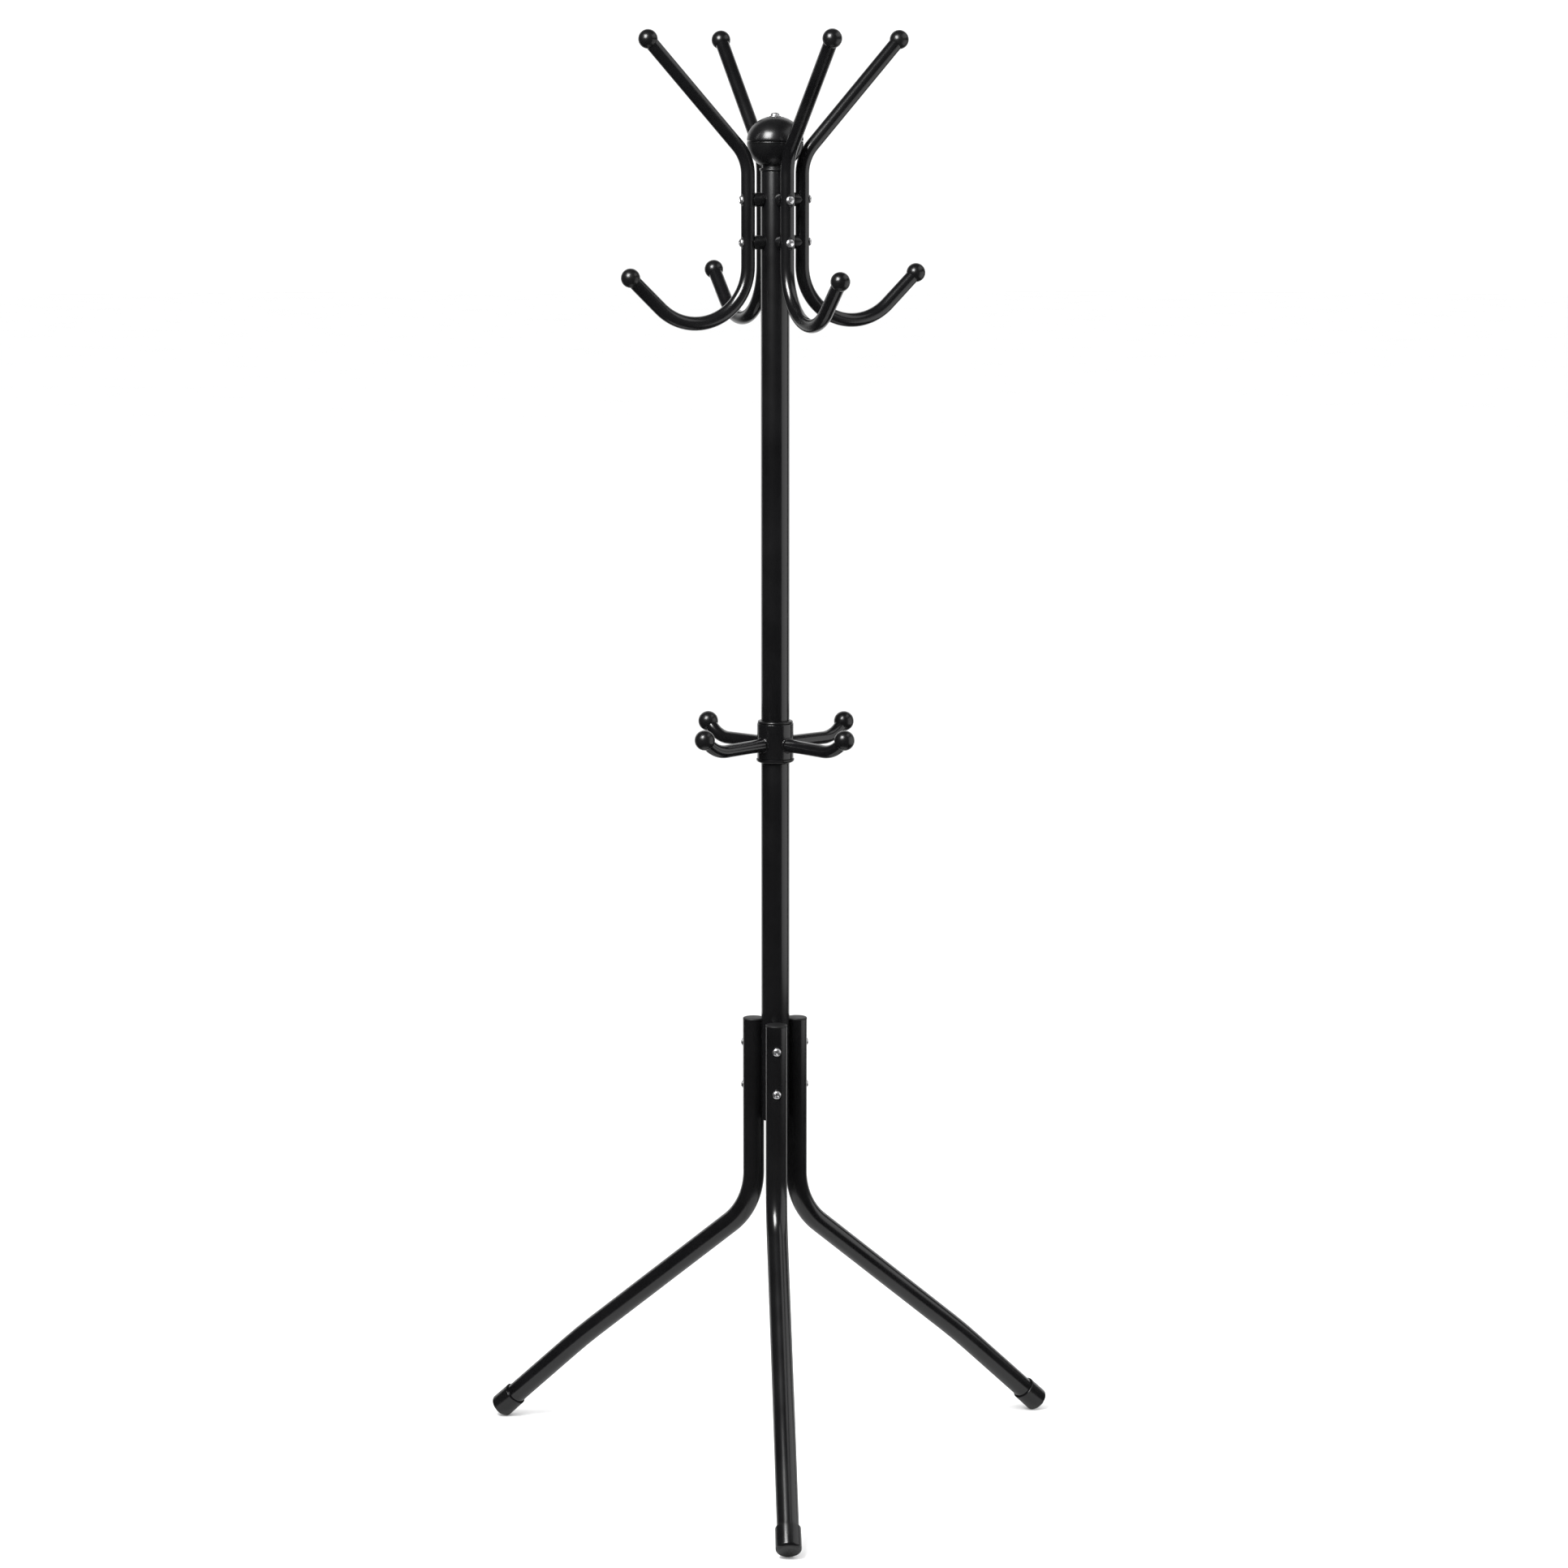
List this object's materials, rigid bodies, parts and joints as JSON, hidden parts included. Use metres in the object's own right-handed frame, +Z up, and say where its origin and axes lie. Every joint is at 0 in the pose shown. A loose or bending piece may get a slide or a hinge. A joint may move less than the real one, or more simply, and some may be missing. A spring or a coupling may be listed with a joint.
{
  "type": "standing coat rack",
  "caption": "Free-standing coat rack: a round steel pole on splayed tube legs, with flared double hooks and a ball finial at the top and a turning ring of short hooks at mid height.",
  "frame": {"origin": "on the floor, on the axis of the pole", "axes": "+Z up along the pole; -Y is the front, where one leg points (2.3 degrees off); +X is to the right seen from the front"},
  "size_m": [0.7046, 0.6279, 1.7323],
  "materials": {
    "tube_coat": "black powder coat, semi-gloss",
    "ball_plastic": "moulded black plastic, glossy",
    "soft_plastic": "moulded black plastic, satin",
    "foot_rubber": "black rubber, slightly shiny",
    "bright_screw": "bright nickel-plated steel",
    "plain_steel": "zinc-plated steel"
  },
  "bodies": {
    "rack": {"pole_upper": "tube_coat", "pole_lower": "tube_coat", "pole_spigot": "plain_steel", "pole_end_plug": "soft_plastic", "finial_plug": "ball_plastic", "finial_ball_top": "ball_plastic", "finial_ball_bottom": "ball_plastic", "finial_washer": "bright_screw", "finial_screw": "bright_screw", "finial_nut": "plain_steel", "double_hook_front_right": "tube_coat", "double_hook_back_right": "tube_coat", "double_hook_back_left": "tube_coat", "double_hook_front_left": "tube_coat", "arm_ball_front_right": "ball_plastic", "arm_ball_back_right": "ball_plastic", "arm_ball_back_left": "ball_plastic", "arm_ball_front_left": "ball_plastic", "curl_ball_front_right": "ball_plastic", "curl_ball_back_right": "ball_plastic", "curl_ball_back_left": "ball_plastic", "curl_ball_front_left": "ball_plastic", "hook_spacers": "ball_plastic", "hook_screws": "bright_screw", "hook_rivet_nuts": "plain_steel", "ring_stop_collar": "soft_plastic", "leg_front": "tube_coat", "leg_right": "tube_coat", "leg_left": "tube_coat", "leg_cap_front": "soft_plastic", "leg_cap_right": "soft_plastic", "leg_cap_left": "soft_plastic", "foot_cap_front": "foot_rubber", "foot_cap_right": "foot_rubber", "foot_cap_left": "foot_rubber", "leg_screws": "bright_screw", "leg_rivet_nuts": "plain_steel"},
    "hook_ring": {"ring_sleeve": "tube_coat", "ring_bush": "soft_plastic", "ring_welds": "tube_coat", "ring_hook_front_right": "tube_coat", "ring_hook_back_right": "tube_coat", "ring_hook_back_left": "tube_coat", "ring_hook_front_left": "tube_coat", "ring_ball_front_right": "ball_plastic", "ring_ball_back_right": "ball_plastic", "ring_ball_back_left": "ball_plastic", "ring_ball_front_left": "ball_plastic"}
  },
  "joints": [
    {"name": "ring_swivel", "type": "hinge", "parent": "rack", "child": "hook_ring", "pos_m": [0, 0, 0.89], "axis": [0, 0, 1], "continuous": true}
  ]
}
